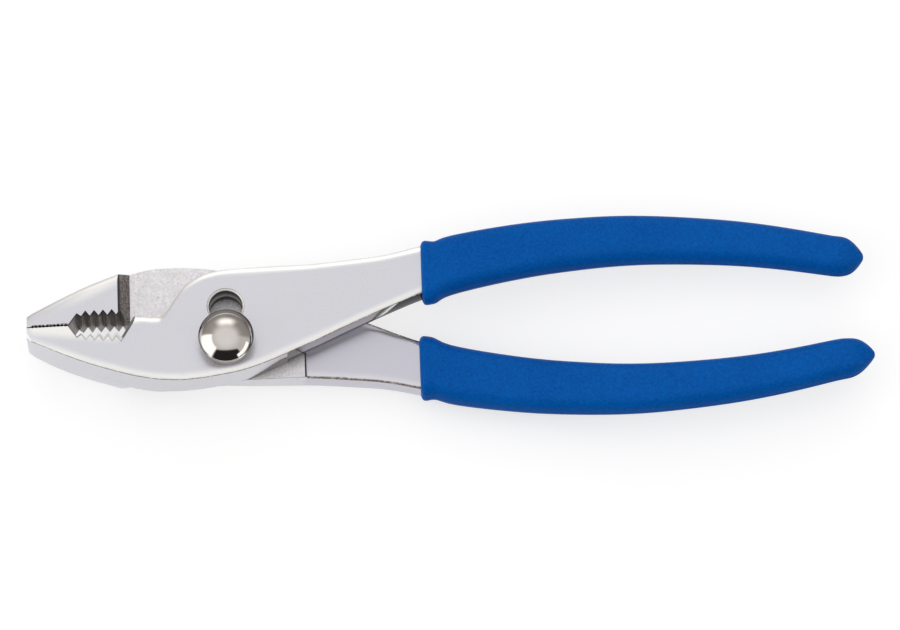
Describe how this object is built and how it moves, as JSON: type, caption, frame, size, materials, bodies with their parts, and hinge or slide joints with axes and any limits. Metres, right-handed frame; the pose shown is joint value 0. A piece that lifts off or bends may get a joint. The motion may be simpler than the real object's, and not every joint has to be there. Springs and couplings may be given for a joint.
{
  "type": "slip joint pliers",
  "caption": "Slip joint pliers with a two-position pivot, fine and pipe-grip teeth, and dipped sleeves on both handles.",
  "frame": {"origin": "on the pivot axis, at the level of the bolt's flat end, which the closed pliers rest on", "axes": "+X along the pliers from the pivot to the handle ends, +Y to the side of the upper jaw, +Z along the pivot axis to the domed head"},
  "size_m": [0.2016, 0.0494, 0.0253],
  "materials": {
    "forged_steel": "satin chrome plate",
    "pivot_chrome": "polished",
    "sleeve": "satin dipped vinyl"
  },
  "bodies": {
    "front": {"front_half": "forged_steel", "front_grip": "sleeve"},
    "pivot": {"pivot_bolt": "pivot_chrome", "pivot_nut": "pivot_chrome"},
    "back": {"back_half": "forged_steel", "back_grip": "sleeve"}
  },
  "joints": [
    {"name": "slip_slide", "type": "slide", "parent": "front", "child": "pivot", "axis": [0, 1, 0], "range_m": [0, 0.0088]},
    {"name": "jaw_hinge", "type": "hinge", "parent": "pivot", "child": "back", "pos_m": [0, 0, 0], "axis": [0, 0, -1], "range_deg": [0, 90]}
  ]
}
